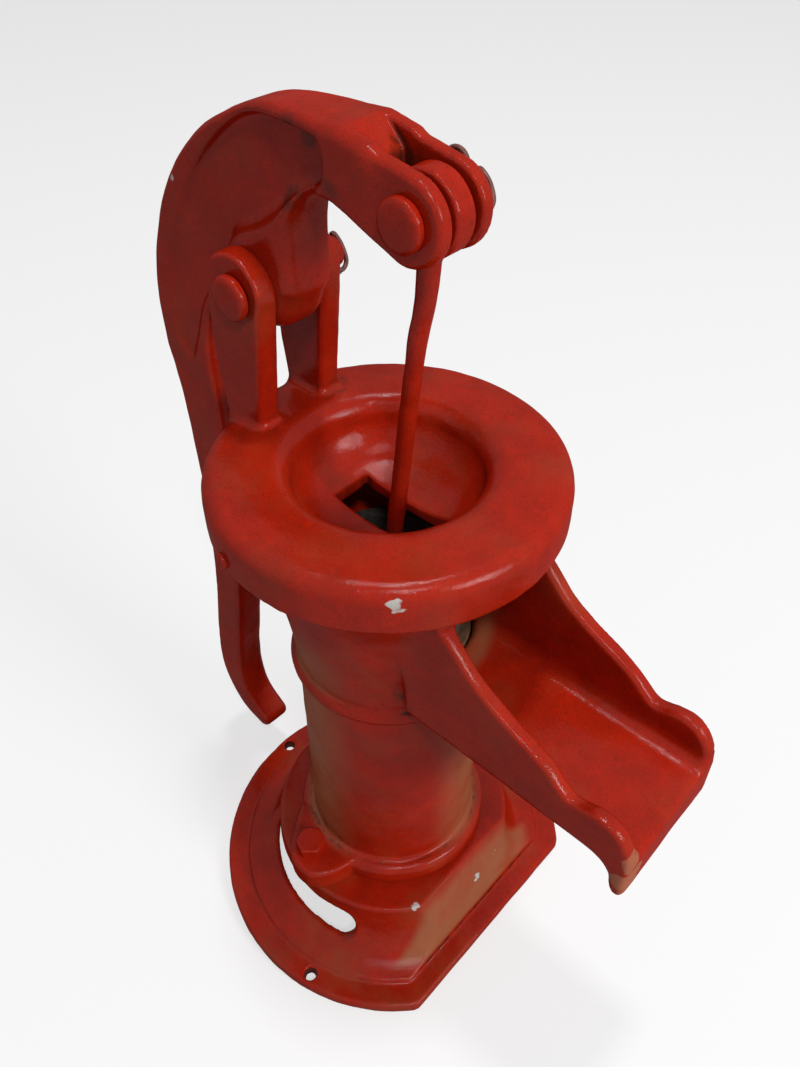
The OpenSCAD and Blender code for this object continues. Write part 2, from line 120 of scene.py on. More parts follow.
# Barrel and spout
leather_thickness = 3.0
leather_room = 47.6
leather_room_edge = 0.4
flange_foot = base_height + leather_thickness
flange_top = flange_foot + 12.0
flange_radius = 51.0
flange_foot_edge = 1.5
flange_edge = 4.0
flange_fillet = 3.0
lug_edge = 1.4
lug_rise_edge = 2.0
lug_join = 1.0
barrel_radius = 44.0
bore_radius = 38.0
bead_height = 188.0
bead_size = 3.3
bead_stretch = 1.15
top_radius = 66.0
basin_radius = 53.0
spout_half = 33.0
spout_wall = 7.0
spout_foot = top_height - 91.0
spout_floor = 6.0
spout_side_edge = 5.0
spout_top_edge = 2.0
spout_join = 5.0
channel_edge = 2.8
channel_corner = 7.0
lip_drop = 16.0

# Cap
cap_top = top_height + 9.0
cap_round = 7.0
cap_fall = 1.0
skirt_foot = cap_top - 22.0
skirt_wall = 6.5
skirt_edge = 1.6
bowl_radius = 38.8
bowl_lip = 9.5
bowl_depth = 29.0
bowl_floor = 5.0
slot_half = 9.5
slot_back = 22.0
slot_front = 32.0
slot_edge = 1.0
ear_inner = 11.5
ear_radius = 15.0
ear_back = 70.5
ear_front = 49.5
ear_edge = 2.6
ear_join = 4.0
spot_face_radius = 12.0
spot_face_depth = 0.9
spot_face_edge = 0.8

# Lever and rod
rim_half = 8.5
rim_spread = 0.6
lever_edge = 3.2
web_half = 3.8
web_growth = 2.6
pocket_corner = 3.0
pocket_edge = 2.0
boss_radius = 17.5
boss_half = 10.5
boss_edge = 7.5
boss_join = 5.0
knuckle_join = 7.0
fork_radius = 14.5
fork_edge = 2.4
fork_join = 4.5
fork_slot_half = 7.0
fork_slot_root = 2.0
fork_slot_edge = 1.2
eye_radius = 14.0
eye_half = 4.5
eye_edge = 1.6
eye_join = 3.0
rod_radius = 3.5
rod_swell = 0.7
wrist_eye_radius = 8.0
wrist_eye_edge = 1.0
wrist_eye_join = 2.0

# Pins and screws
fulcrum_pin_radius = 6.0
rod_pin_radius = 5.5
ear_play = 0.2
pin_play = 0.1
pin_hole_edge = 0.5
ear_hole_edge = 0.6
pin_head_radius = 8.7
cotter_lean = -55.0
cotter_ring = 4.2
cotter_wire = 1.0
fulcrum_cotter_leg = 6.2
rod_cotter_leg = 8.8
bolt_turn = 12.6
bolt_edge = 0.4
bolt_cone = 1.6
bolt_crown = 0.98
screw_radius = 3.4
screw_proud = 1.6
screw_edge = 1.2
screw_slot_half = 0.5
screw_slot_foot = 0.8
screw_slot_edge = 0.2

# Sand-cast skin: depth of its waves and their lengths
skin_depth = 0.22
long_wave = 14.0
short_wave = 5.0

# How far from the skin a crease and an edge are felt
crease_reach = 7.0
edge_reach = 2.4


# Distance fields: below zero is inside

class Grid:
    """Regular grid of points around a box, with axes that broadcast against each other."""

    def __init__(self, low, high, step):
        margin = max(3 * step, crease_reach + step)
        self.step = step
        self.low = np.array(low, float) - margin
        counts = np.ceil((np.array(high, float) + margin - self.low) / step).astype(int) + 1
        axes = [(self.low[i] + step * np.arange(counts[i])).astype(np.float32) for i in range(3)]
        self.counts = counts
        self.x = axes[0][:, None, None]
        self.y = axes[1][None, :, None]
        self.z = axes[2][None, None, :]
        self.radius = np.hypot(self.x, self.y)
        self.turn = np.arctan2(self.y, self.x)


def joined(a, b, fillet):
    """Union with a concave fillet."""
    return np.maximum(fillet, np.minimum(a, b)) - np.hypot(
        np.maximum(fillet - a, 0), np.maximum(fillet - b, 0)
    )


def common(a, b, edge):
    """Intersection with a rounded edge."""
    return np.minimum(-edge, np.maximum(a, b)) + np.hypot(np.maximum(edge + a, 0), np.maximum(edge + b, 0))


def cut(a, b, edge):
    """Takes b out of a, with a rounded edge."""
    return common(a, -b, edge)


def outline(points, u, v):
    """Signed distance to a closed polygon, for arrays of places."""
    near = np.full(np.broadcast(u, v).shape, 1e9, np.float32)
    inside = np.ones_like(near)
    for (u0, v0), (u1, v1) in zip(points, points[1:] + points[:1]):
        du, dv = u1 - u0, v1 - v0
        length = du * du + dv * dv
        if length < 1e-9:
            continue
        share = np.clip(((u - u0) * du + (v - v0) * dv) / length, 0, 1)
        near = np.minimum(near, (u - u0 - share * du) ** 2 + (v - v0 - share * dv) ** 2)
        above = (v >= v0) != (v >= v1)
        crossing = above & ((u - u0) * dv * np.sign(dv) < (v - v0) * du * np.sign(dv))
        inside = np.where(crossing, -inside, inside)
    return (np.sqrt(near) * inside).astype(np.float32)


def arc(centre, radius, start, end, count=8):
    """Points along an arc, angles in degrees."""
    return [
        (centre[0] + radius * math.cos(math.radians(a)), centre[1] + radius * math.sin(math.radians(a)))
        for a in np.linspace(start, end, count)
    ]


def spline(points, parts=5):
    """Smooth open curve through the points."""
    p = np.array([points[0], *points, points[-1]], float)
    curve = []
    for i in range(1, len(p) - 2):
        for t in np.arange(parts) / parts:
            a = 2 * p[i]
            b = (p[i + 1] - p[i - 1]) * t
            c = (2 * p[i - 1] - 5 * p[i] + 4 * p[i + 1] - p[i + 2]) * t * t
            d = (3 * p[i] - p[i - 1] - 3 * p[i + 1] + p[i + 2]) * t ** 3
            curve.append(tuple((a + b + c + d) / 2))
    return curve + [tuple(p[-1])]


def softened(points, times=2):
    """Closed outline with its corners cut back again and again."""
    p = np.array(points, float)
    for _ in range(times):
        following = np.roll(p, -1, axis=0)
        p = np.stack([0.75 * p + 0.25 * following, 0.25 * p + 0.75 * following], 1).reshape(-1, 2)
    return [tuple(q) for q in p]


def turned(grid, profile):
    """Field of a profile of radius and height turned about the Z axis."""
    fine = grid.step / 2
    radii = np.arange(0, grid.radius.max() + 2 * fine, fine, dtype=np.float32)
    table = outline(profile, radii[:, None], grid.z[0])
    place = grid.radius[:, :, 0] / fine
    index = np.minimum(place.astype(int), len(radii) - 2)
    share = (place - index)[:, :, None]
    return table[index] * (1 - share) + table[index + 1] * share


def side_on(grid, points):
    """Field of an outline of x and z, the same for every y."""
    return outline(points, grid.x[:, 0], grid.z[0])[:, None, :]


def from_above(grid, points):
    """Field of an outline of x and y, the same for every height."""
    return outline(points, grid.x[:, :, 0], grid.y[:, :, 0])[:, :, None]


def wander(grid, wavelength, seed):
    """Smooth noise between -1 and 1 over the grid."""
    spans = grid.counts * grid.step / wavelength
    values = np.random.default_rng(seed).uniform(-1, 1, np.ceil(spans).astype(int) + 2)
    for axis in range(3):
        place = np.arange(grid.counts[axis]) * grid.step / wavelength
        index = place.astype(int)
        share = place - index
        share = share * share * (3 - 2 * share)
        shape = [1, 1, 1]
        shape[axis] = -1
        share = share.reshape(shape)
        values = values.take(index, axis) * (1 - share) + values.take(index + 1, axis) * share
    return values.astype(np.float32)


def rough(grid, field, seed):
    """Adds the slight waviness of a sand casting."""
    field = field + skin_depth * wander(grid, long_wave, seed)
    return field + 0.5 * skin_depth * wander(grid, short_wave, seed + 1)


def sample(grid, field, points):
    """Values of a field at points in millimetres, by linear interpolation."""
    place = (points - grid.low) / grid.step
    place = np.clip(place, 0, np.array(field.shape) - 1.001)
    index = place.astype(int)
    share = place - index
    total = np.zeros(len(points))
    for corner in np.ndindex(2, 2, 2):
        weight = np.prod(np.where(corner, share, 1 - share), axis=1)
        i, j, k = (index + corner).T
        total += weight * field[i, j, k]
    return total


# Meshes

def new_piece(name, mesh, body, material, nodes=()):
    """Object for a mesh, riding on a body and standing for the named CAD nodes."""
    piece = bpy.data.objects.new(name, mesh)
    bpy.context.scene.collection.objects.link(piece)
    mesh.materials.append(material)
    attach(piece, body)
    if nodes:
        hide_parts(*nodes)
    return piece


def mesh_from(name, points, faces, sides):
    """Smooth-shaded mesh from points in millimetres and faces with the same number of sides."""
    mesh = bpy.data.meshes.new(name)
    mesh.vertices.add(len(points))
    mesh.vertices.foreach_set("co", (np.asarray(points) / MILLIMETRES).astype(np.float32).ravel())
    mesh.loops.add(len(faces) * sides)
    mesh.loops.foreach_set("vertex_index", np.asarray(faces, np.int32).ravel())
    mesh.polygons.add(len(faces))
    mesh.polygons.foreach_set("loop_start", np.arange(len(faces), dtype=np.int32) * sides)
    mesh.update(calc_edges=True)
    mesh.validate()
    mesh.polygons.foreach_set("use_smooth", np.ones(len(mesh.polygons), bool))
    return mesh


def set_values(mesh, name, values):
    attribute = mesh.attributes.new(name, "FLOAT", "POINT")
    attribute.data.foreach_set("value", np.asarray(values, np.float32))


def outward(grid, field, points):
    """Direction in which a field grows, at points in millimetres."""
    slope = np.zeros_like(points)
    for axis in range(3):
        shift = np.zeros(3)
        shift[axis] = grid.step
        slope[:, axis] = sample(grid, field, points + shift) - sample(grid, field, points - shift)
    return slope / (np.linalg.norm(slope, axis=1, keepdims=True) + 1e-9)


def thinned(mesh, most=180000):
    """The mesh with its flat stretches thinned until it has no more than this many triangles."""
    triangles = 2 * len(mesh.polygons)
    if triangles <= most:
        return mesh
    holder = bpy.data.objects.new(mesh.name, mesh)
    bpy.context.scene.collection.objects.link(holder)
    thin = holder.modifiers.new("thin", "DECIMATE")
    thin.ratio = most / triangles
    result = bpy.data.meshes.new_from_object(holder.evaluated_get(bpy.context.evaluated_depsgraph_get()))
    bpy.data.objects.remove(holder)
    result.polygons.foreach_set("use_smooth", np.ones(len(result.polygons), bool))
    return result


def cast(name, grid, field):
    """Mesh of a field, with how deep in a crease and how near an edge each point lies."""
    field = np.array(np.broadcast_to(field, grid.counts), np.float32, order="C")
    volume = openvdb.FloatGrid()
    volume.copyFromArray(field)
    places, quads = volume.convertToQuads(0.0)
    points = grid.low + grid.step * np.asarray(places, float)
    quads = np.asarray(quads, np.int64)
    slope = outward(grid, field, points)
    corners = points[quads[:, :3]]
    facing = np.cross(corners[:, 1] - corners[:, 0], corners[:, 2] - corners[:, 0])
    if np.sum(facing * slope[quads[:, 0]]) < 0:
        quads = quads[:, ::-1]
    mesh = thinned(mesh_from(name, points, quads, 4))
    points = np.empty(3 * len(mesh.vertices), np.float32)
    mesh.vertices.foreach_get("co", points)
    points = points.reshape(-1, 3).astype(float) * MILLIMETRES
    slope = outward(grid, field, points)
    crease = 1 - sample(grid, field, points + crease_reach * slope) / crease_reach
    edge = 1 + sample(grid, field, points - edge_reach * slope) / edge_reach
    set_values(mesh, "crease", np.clip(crease, 0, 1))
    set_values(mesh, "edge", np.clip(edge, 0, 1))
    return mesh


def lathe_along_y(name, centre_x, centre_z, profile, count=48):
    """Closed mesh of a profile of y and radius, turned about a line along Y."""
    angles = np.arange(count) * 2 * math.pi / count
    rings = [
        [(centre_x + r * math.cos(a), y, centre_z + r * math.sin(a)) for a in angles] for y, r in profile
    ]
    points = [p for ring in rings for p in ring]
    faces = [tuple(range(count)), tuple(range(len(points) - 1, len(points) - 1 - count, -1))]
    for i in range(len(profile) - 1):
        for j in range(count):
            k = (j + 1) % count
            faces.append((i * count + k, i * count + j, (i + 1) * count + j, (i + 1) * count + k))
    mesh = bpy.data.meshes.new(name)
    mesh.from_pydata(np.array(points) / MILLIMETRES, [], faces)
    mesh.polygons.foreach_set("use_smooth", np.ones(len(mesh.polygons), bool))
    return mesh


# Castings

def bar_along_y(grid, x, z, radius):
    """Field of a round bar along Y, the same for every y."""
    return np.hypot(grid.x - x, grid.z - z) - radius


def slab(grid, points, half, edge):
    """Outline of x and z, with a half thickness on either side of the middle plane."""
    return common(np.broadcast_to(side_on(grid, points), grid.counts), np.abs(grid.y) - half, edge)


def base_field(grid):
    plan = common(grid.radius - base_radius, grid.x - base_flat, rim_corner)
    rim = common(common(plan, grid.z - rim_thickness, rim_edge), -grid.z, rim_foot_edge)
    bell_height = rim_thickness + bell_step
    bell_over = base_height + 4
    profile = spline([
        (bell_foot, bell_height), (bell_foot - 7, bell_height + 2.0), (74.0, 14.8), (69.0, 24.0),
        (66.3, 36.0), (bell_top_radius, bell_over)
    ])
    foot_share = 0.4
    slope = (front_foot - front_top) / (base_height - bell_height)
    lean = math.hypot(1, slope)

    def bell(shrink, edge):
        top = base_height - shrink
        wall = [(r - shrink, z - shrink * foot_share) for r, z in profile]
        shape = turned(grid, [(bell_foot - shrink, -shrink)] + wall + [(0.0, bell_over), (0.0, -shrink)])
        front = (grid.x - front_foot + shrink + slope * (grid.z - bell_height)) / lean
        foot_line = grid.x - front_foot + shrink
        shape = common(common(shape, front, edge), foot_line, edge)
        return common(shape, grid.z - top, edge)

    field = joined(rim, common(bell(0.0, bell_edge), -grid.z, bell_foot_edge), bell_join)
    field = cut(field, bell(base_wall, hollow_edge), hollow_rim_edge)
    field = cut(field, window_field(grid), window_edge)
    boss = common(grid.radius - suction_boss_radius, -grid.z, suction_boss_edge)
    boss = common(boss, grid.z - base_height + 1, suction_boss_edge)
    field = joined(field, boss, suction_boss_join)
    field = cut(field, grid.radius - suction_radius, suction_edge)
    for angle in screw_hole_angles:
        x = screw_hole_reach * math.cos(math.radians(angle))
        y = screw_hole_reach * math.sin(math.radians(angle))
        hole = np.hypot(grid.x - x, grid.y - y) - screw_hole_radius
        field = cut(field, hole + screw_hole_taper * (rim_thickness - grid.z), screw_hole_edge)
    return field


def window_field(grid):
    """The two long windows in the bell, with round ends."""
    middle_turn = math.radians((window_start + window_end) / 2)
    half_turn = math.radians((window_end - window_start) / 2)
    half_rise = (window_head - window_sill) / 2
    corner = window_rounding * half_rise
    along = np.abs(np.abs(grid.turn) - middle_turn) * window_radius - half_turn * window_radius + corner
    upward = np.abs(grid.z - (window_sill + window_head) / 2) - half_rise + corner
    window = np.hypot(np.maximum(along, 0), np.maximum(upward, 0)) + np.minimum(np.maximum(along, upward), 0)
    return np.maximum(window - corner, window_inner - grid.radius)


def barrel_profile():
    """Outside upwards from the flange, then inside downwards."""
    foot_round = (flange_radius - flange_foot_edge, flange_foot + flange_foot_edge)
    top_round = (flange_radius - flange_edge, flange_top - flange_edge)
    flange = arc(foot_round, flange_foot_edge, -90, 0, 5) + arc(top_round, flange_edge, 0, 90, 6)
    root = arc((barrel_radius + flange_fillet, flange_top + flange_fillet), flange_fillet, -90, -180, 6)
    bead = [(barrel_radius + bead_size * math.cos(math.radians(a)),
             bead_height + bead_stretch * bead_size * math.sin(math.radians(a))) for a in range(-90, 91, 20)]
    flare = spline([(barrel_radius + 0.2, 193.0), (46.0, 212.0), (51.0, 242.0), (55.5, 258.0),
                    (60.0, 269.5), (top_radius, 279.0)])
    inside = spline([(basin_radius, 262.0), (50.0, 252.0), (44.0, 243.0), (bore_radius, 234.0)])
    return (flange + root + bead + flare + [(top_radius, top_height), (basin_radius, top_height)]
            + inside + [(bore_radius, flange_foot)])


def lug_field(grid, side):
    """Lug for a bolt on the near (-1) or far (1) side of the flange, with room for the leather under it."""
    corners = [(-31.0, 40.0), (-29.5, 45.0), (-20.5, 59.0), (-15.0, 66.0), (-8.0, 69.5), (1.0, 69.5),
               (7.0, 66.0), (12.0, 59.0), (15.5, 46.0), (16.0, 40.0)]
    plan = from_above(grid, softened([(x, side * y) for x, y in corners], 1))
    lug = common(plan, common(base_height - grid.z, grid.z - flange_top, lug_rise_edge), lug_edge)
    lug = cut(lug, np.maximum(grid.radius - leather_room, grid.z - flange_foot), leather_room_edge)
    return np.maximum(lug, bore_radius - grid.radius)


def spout_field(grid):
    """Outside of the spout: its crest seen from the side, its flanks, and its underside with the lip."""
    deep, high, root = 150.0, 330.0, 30.0
    crest = spline([
        (bore_radius, 270.0), (51.0, 268.0), (61.0, 261.0), (74.0, 248.0), (90.0, 238.5), (101.0, 233.5),
        (109.0, 229.0), (114.5, 224.0), (119.0, 220.6), (123.5, 220.8), (130.0, 223.0), (136.5, 222.8),
        (142.0, 219.5), (spout_reach - 2.0, 213.5), (spout_reach, 205.0)
    ])
    trough = side_on(grid, crest + [(spout_reach, deep), (bore_radius, deep)])
    sides = np.broadcast_to(np.abs(grid.y) - spout_half, grid.counts)
    lip_foot = spout_foot - lip_drop
    underside = spline([(spout_reach + 4, lip_foot), (spout_reach - 5.5, lip_foot),
                        (spout_reach - 9, spout_foot - 5), (spout_reach - 15, spout_foot - 0.6),
                        (spout_reach - 26, spout_foot)])
    below = side_on(grid, [(spout_reach + 4, high)] + underside + [(root, spout_foot), (root, high)])
    return common(trough, common(sides, below, spout_side_edge), spout_top_edge)


def body_field(grid):
    field = turned(grid, barrel_profile())
    for side in (-1, 1):
        field = joined(field, lug_field(grid, side), lug_join)
    field = joined(field, np.maximum(spout_field(grid), bore_radius - grid.radius), spout_join)
    floor = spout_foot + spout_floor
    past = spout_reach + 30
    channel = side_on(grid, [(19.0, floor), (spout_reach - 12, floor), (past, floor - 5), (past, 276.0),
                             (56.0, 276.0), (54.0, 259.0), (19.0, 259.0)])
    width = np.abs(grid.y) - spout_half + spout_wall
    channel = common(np.broadcast_to(channel, grid.counts), width, channel_corner)
    return cut(field, channel, channel_edge)


def cap_profile():
    """Ring, bowl and underside, from the skirt's foot outwards and round."""
    inner = cap_radius - skirt_wall
    foot = arc((cap_radius - skirt_edge, skirt_foot + skirt_edge), skirt_edge, -90, 0, 4)
    shoulder = arc((cap_radius - cap_round, cap_top - cap_fall - cap_round), cap_round, 0, 80, 10)
    lip = arc((bowl_radius + bowl_lip, cap_top - bowl_lip), bowl_lip, 90, 176, 8)
    bowl = spline([
        (bowl_radius - 0.2, cap_top - 11), (bowl_radius - 1.8, cap_top - 15),
        (bowl_radius - 5.2, cap_top - 20), (28.5, cap_top - 24), (22.0, cap_top - 26.6),
        (14.0, cap_top - 28.5), (0.0, cap_top - bowl_depth)
    ])
    lowest = cap_top - bowl_depth - bowl_floor
    underside = [(0.0, lowest), (21.0, lowest), (38.0, cap_top - 26), (47.5, top_height), (inner, top_height)]
    return [(inner, skirt_foot)] + foot + shoulder + [(58.0, cap_top - 0.2)] + lip + bowl + underside


def cap_field(grid):
    field = turned(grid, cap_profile())
    ear_foot = cap_top - cap_round
    ear_points = (
        [(-ear_back, ear_foot), (-ear_front, ear_foot), (-ear_front, cap_top)]
        + arc((fulcrum_x - 2.3, fulcrum_z + 0.5), ear_radius, -12, 190, 18)
        + [(-ear_back - 4.5, cap_top + 34), (-ear_back - 3.5, cap_top + 18), (-ear_back - 1.5, cap_top + 5)]
    )
    middle = (ear_inner + ear_outer) / 2
    plate = np.abs(np.abs(grid.y) - middle) - (ear_outer - ear_inner) / 2
    ears = common(np.broadcast_to(side_on(grid, ear_points), field.shape), plate, ear_edge)
    ears = np.maximum(ears, top_height - grid.z)
    field = joined(field, ears, ear_join)
    face = np.hypot(grid.x - fulcrum_x + 1, grid.z - fulcrum_z - 1.5) - spot_face_radius
    face = np.maximum(face, grid.y + ear_outer - spot_face_depth)
    field = cut(field, np.broadcast_to(face, field.shape), spot_face_edge)
    slot = np.maximum(np.abs(grid.x - (slot_front - slot_back) / 2) - (slot_front + slot_back) / 2,
                      np.abs(grid.y) - slot_half)
    slot = np.maximum(slot, grid.z - cap_top)
    field = cut(field, slot, slot_edge)
    return cut(field, bar_along_y(grid, fulcrum_x, fulcrum_z, fulcrum_pin_radius + ear_play), ear_hole_edge)


def eased(values, start, end):
    """Smooth step from nothing at start to one at end."""
    share = np.clip((values - start) / (end - start), 0, 1)
    return share * share * (3 - 2 * share)


def from_fulcrum(points):
    return [(fulcrum_x + x, fulcrum_z + z) for x, z in points]


def arm_outline():
    """Both edges of the hanging arm, from its middle line and half depth below the fulcrum."""
    stations = [(-59.5, -54.0, 15.8), (-58.4, -66.0, 14.8), (-57.0, -93.0, 13.4),
                (-57.0, -130.0, 12.3), (-59.3, -169.0, 11.1), (-63.8, -209.0, 10.6), (-69.2, -240.0, 10.5),
                (-73.8, -268.0, 10.3), (-75.3, -287.0, 10.2), (-73.5, -301.0, 9.8), (-68.5, -312.5, 8.8),
                (-60.5, -320.5, 7.2), (-52.0, -325.0, 5.4)]
    fine = np.array(spline(stations, 4))
    heading = np.gradient(fine[:, :2], axis=0)
    heading /= np.linalg.norm(heading, axis=1, keepdims=True)
    normal = np.stack([heading[:, 1], -heading[:, 0]], 1)
    left = fine[:, :2] + normal * fine[:, 2:]
    right = fine[:, :2] - normal * fine[:, 2:]
    angle = math.degrees(math.atan2(normal[-1, 1], normal[-1, 0]))
    tip = arc(fine[-1, :2], fine[-1, 2], angle, angle + 180, 9)
    return from_fulcrum([tuple(p) for p in left] + tip + [tuple(p) for p in right[::-1]])


# Underside of the neck between the lever's boss and its fork, from the fulcrum
neck_line = [(17.5, 2.0), (17.3, 16.0), (18.0, 29.0), (21.5, 38.0), (28.5, 44.0), (39.5, 46.0)]


def lever_outline():
    back = spline(from_fulcrum([
        (60.0, 64.4), (48.0, 66.8), (36.0, 67.8), (24.0, 67.8), (14.0, 67.2), (6.0, 65.8), (-1.0, 63.6),
        (-8.0, 60.6), (-15.0, 57.0), (-26.5, 50.6), (-38.0, 41.4), (-49.4, 29.4), (-59.8, 14.8),
        (-67.4, -0.7), (-72.0, -13.1), (-75.2, -28.3), (-75.8, -41.0)
    ]))
    belly = spline(from_fulcrum([(-42.2, -40.0), (-36.8, -24.7), (-26.8, -11.0), (-11.4, -3.3)]))
    neck = spline(from_fulcrum(neck_line))
    fork_end = [(rod_pin_x - 14, rod_pin_z + 12)]
    return back + arm_outline() + belly + from_fulcrum([(0.0, 0.0)]) + neck + fork_end


def pocket_field(grid):
    """Recess in both flanks, up to a web that is thicker towards the arm."""
    pocket = softened(from_fulcrum([
        (43.5, 56.0), (42.5, 63.5), (14.0, 63.5), (3.0, 61.6), (-6.0, 57.8), (-14.0, 52.4), (-24.5, 44.0),
        (-34.0, 34.0), (-42.8, 22.0), (-51.6, 7.2), (-58.8, -5.8), (-62.7, -17.2), (-65.4, -29.8),
        (-66.2, -44.0), (-57.0, -60.0), (-49.0, -42.0), (-42.0, -24.0), (-30.0, -8.0), (-18.0, 9.0),
        (-9.0, 14.5), (-2.0, 18.0), (6.0, 22.5), (13.0, 27.5), (21.0, 35.0), (29.0, 41.0), (37.0, 45.0),
        (42.0, 50.0)
    ]))
    web = web_half + web_growth * eased(fulcrum_x - grid.x, 14, 52)
    return common(np.broadcast_to(side_on(grid, pocket), grid.counts), web - np.abs(grid.y), pocket_corner)


def knuckle_field(grid):
    """Swelling that carries the boss's thickness up the neck."""
    lobe = softened(from_fulcrum(
        [(-17.0, 12.0), (-9.0, 18.5), (-2.0, 22.0), (6.0, 26.5), (13.0, 31.5), (21.0, 38.5), (30.0, 43.5),
         (39.0, 48.0)]
        + neck_line[::-1] + [(11.0, -13.0), (-5.0, -17.0), (-16.0, -6.0)]
    ))
    return slab(grid, lobe, boss_half, boss_edge)


def lever_field(grid):
    low_share = np.clip((fulcrum_z - 60 - grid.z) / 180, 0, 1)
    widening = eased(grid.x, fulcrum_x - 8, fulcrum_x + 40)
    half = rim_half + rim_spread * low_share + (fork_half - rim_half) * widening
    field = slab(grid, lever_outline(), half, lever_edge)
    field = cut(field, pocket_field(grid), pocket_edge)
    field = joined(field, knuckle_field(grid), knuckle_join)
    boss = bar_along_y(grid, fulcrum_x, fulcrum_z, boss_radius)
    boss = common(boss, np.abs(grid.y) - boss_half, boss_edge)
    field = joined(field, np.broadcast_to(boss, grid.counts), boss_join)
    fork_points = arc((rod_pin_x, rod_pin_z), fork_radius, -100, 80, 16)
    fork_points += from_fulcrum([(48.0, 66.8), (42.0, 65.0), (43.0, 56.0), (42.0, 50.0), (38.5, 46.0),
                                 (50.0, 42.0)])
    field = joined(field, slab(grid, fork_points, fork_half, fork_edge), fork_join)
    ramp = fork_slot_root - np.maximum(grid.z - rod_pin_z - 12.5, 0) - grid.x
    slot = np.maximum(ramp, np.abs(grid.y) - fork_slot_half)
    field = cut(field, np.broadcast_to(slot, grid.counts), fork_slot_edge)
    field = cut(field, bar_along_y(grid, fulcrum_x, fulcrum_z, fulcrum_pin_radius + pin_play), pin_hole_edge)
    return cut(field, bar_along_y(grid, rod_pin_x, rod_pin_z, rod_pin_radius + pin_play), pin_hole_edge)


def rod_field(grid):
    thickness = np.abs(grid.y) - eye_half
    eye = common(bar_along_y(grid, rod_pin_x, rod_pin_z, eye_radius), thickness, eye_edge)
    wrist = common(bar_along_y(grid, wrist_x, wrist_z, wrist_eye_radius), thickness, wrist_eye_edge)
    bend = spline([(rod_pin_z, rod_pin_x), (rod_pin_z - 30, 18.0), (rod_pin_z - 57, 13.3),
                   (wrist_z, wrist_x)], 12)
    heights, places = np.array(bend).T
    middle = np.interp(grid.z[0, 0], heights[::-1], places[::-1])[None, None, :]
    swell = rod_swell * np.clip((grid.z - rod_pin_z + 38) / 25, 0, 1)
    shank = np.hypot(grid.x - middle, grid.y) - rod_radius - swell
    shank = np.maximum(shank, np.maximum(grid.z - rod_pin_z, wrist_z - grid.z))
    field = joined(np.broadcast_to(eye, grid.counts), shank, eye_join)
    field = joined(field, np.broadcast_to(wrist, grid.counts), wrist_eye_join)
    return cut(field, bar_along_y(grid, rod_pin_x, rod_pin_z, rod_pin_radius + pin_play), pin_hole_edge)


# Small hardware

def hexagon_head(grid, centre, radius, foot, top):
    turn = math.radians(bolt_turn)
    across, along = grid.x - centre[0], grid.y - centre[1]
    x = across * math.cos(turn) + along * math.sin(turn)
    y = along * math.cos(turn) - across * math.sin(turn)
    flat = radius * math.cos(math.radians(30))
    side = np.maximum(np.abs(x), np.abs(x) * 0.5 + np.abs(y) * math.sin(math.radians(60))) - flat
    cone = (np.hypot(x, y) + (grid.z - top) * bolt_cone - flat * bolt_crown) / math.hypot(1, bolt_cone)
    return common(common(side, cone, bolt_edge), np.maximum(grid.z - top, foot - grid.z), bolt_edge)


def grub_screw_field(grid, height, turn):
    """Headless screw through the skirt, its slotted end standing a little proud."""
    outwards = grid.x * math.cos(turn) + grid.y * math.sin(turn)
    sideways = grid.y * math.cos(turn) - grid.x * math.sin(turn)
    shank = np.hypot(sideways, grid.z - height) - screw_radius
    shank = common(shank, outwards - cap_radius - screw_proud, screw_edge)
    shank = np.maximum(shank, cap_radius - skirt_wall - outwards)
    slot = np.maximum(np.abs(sideways) - screw_slot_half, cap_radius + screw_slot_foot - outwards)
    return cut(shank, slot, screw_slot_edge)


def pin_profile(near, far, radius):
    """Headed pin along Y: a slightly domed head on the near side and a chamfered tail."""
    head = near + pin_head_thickness
    return [(near, 0.45 * pin_head_radius), (near + 0.25, 0.75 * pin_head_radius),
            (near + 0.7, 0.92 * pin_head_radius), (near + 1.5, pin_head_radius),
            (head - 0.6, pin_head_radius), (head, pin_head_radius - 0.5), (head, radius),
            (far - 1.0, radius), (far - 0.3, radius - 0.5), (far, radius - 1.2)]


def split_pin(name, x, y, z, radius, leg):
    """Bent wire through a pin's tail: a ring on one side, a leg bent round the tail's end on the other."""
    curve = bpy.data.curves.new(name, "CURVE")
    curve.dimensions = "3D"
    curve.bevel_depth = cotter_wire / MILLIMETRES
    curve.bevel_resolution = 4
    curve.use_fill_caps = True
    eye = -radius - cotter_ring - 0.5
    angles = np.radians(np.arange(25, 340, 15))
    route = [(radius + 3.0, 0.7, -1.0), (radius, 0.7, 0.0), (eye + cotter_ring + 1, 0.6, 0.0)]
    route += [(eye + cotter_ring * math.cos(a), 0.0, cotter_ring * math.sin(a)) for a in angles]
    route += [(eye + cotter_ring + 1, -0.6, 0.0), (radius, -0.7, 0.0)]
    route += spline([
        (radius + 1.2, -0.5, 0.2), (radius + 2.0, 0.35 * leg, 0.4), (radius - 0.5, 0.85 * leg, 0.8),
        (-0.5, leg, 1.0), (0.5 - radius, 0.85 * leg, 1.0), (0.2 - radius, 0.6 * leg, 1.0)
    ], 4)
    turn = math.radians(cotter_lean)
    route = [(x + a * math.cos(turn) - c * math.sin(turn), y + b, z + a * math.sin(turn) + c * math.cos(turn))
             for a, b, c in route]
    line = curve.splines.new("POLY")
    line.points.add(len(route) - 1)
    for point, place in zip(line.points, route):
        point.co = (*(np.array(place) / MILLIMETRES), 1.0)
    holder = bpy.data.objects.new(name, curve)
    mesh = bpy.data.meshes.new_from_object(holder)
    bpy.data.objects.remove(holder)
    mesh.polygons.foreach_set("use_smooth", np.ones(len(mesh.polygons), bool))
    return mesh


# Materials

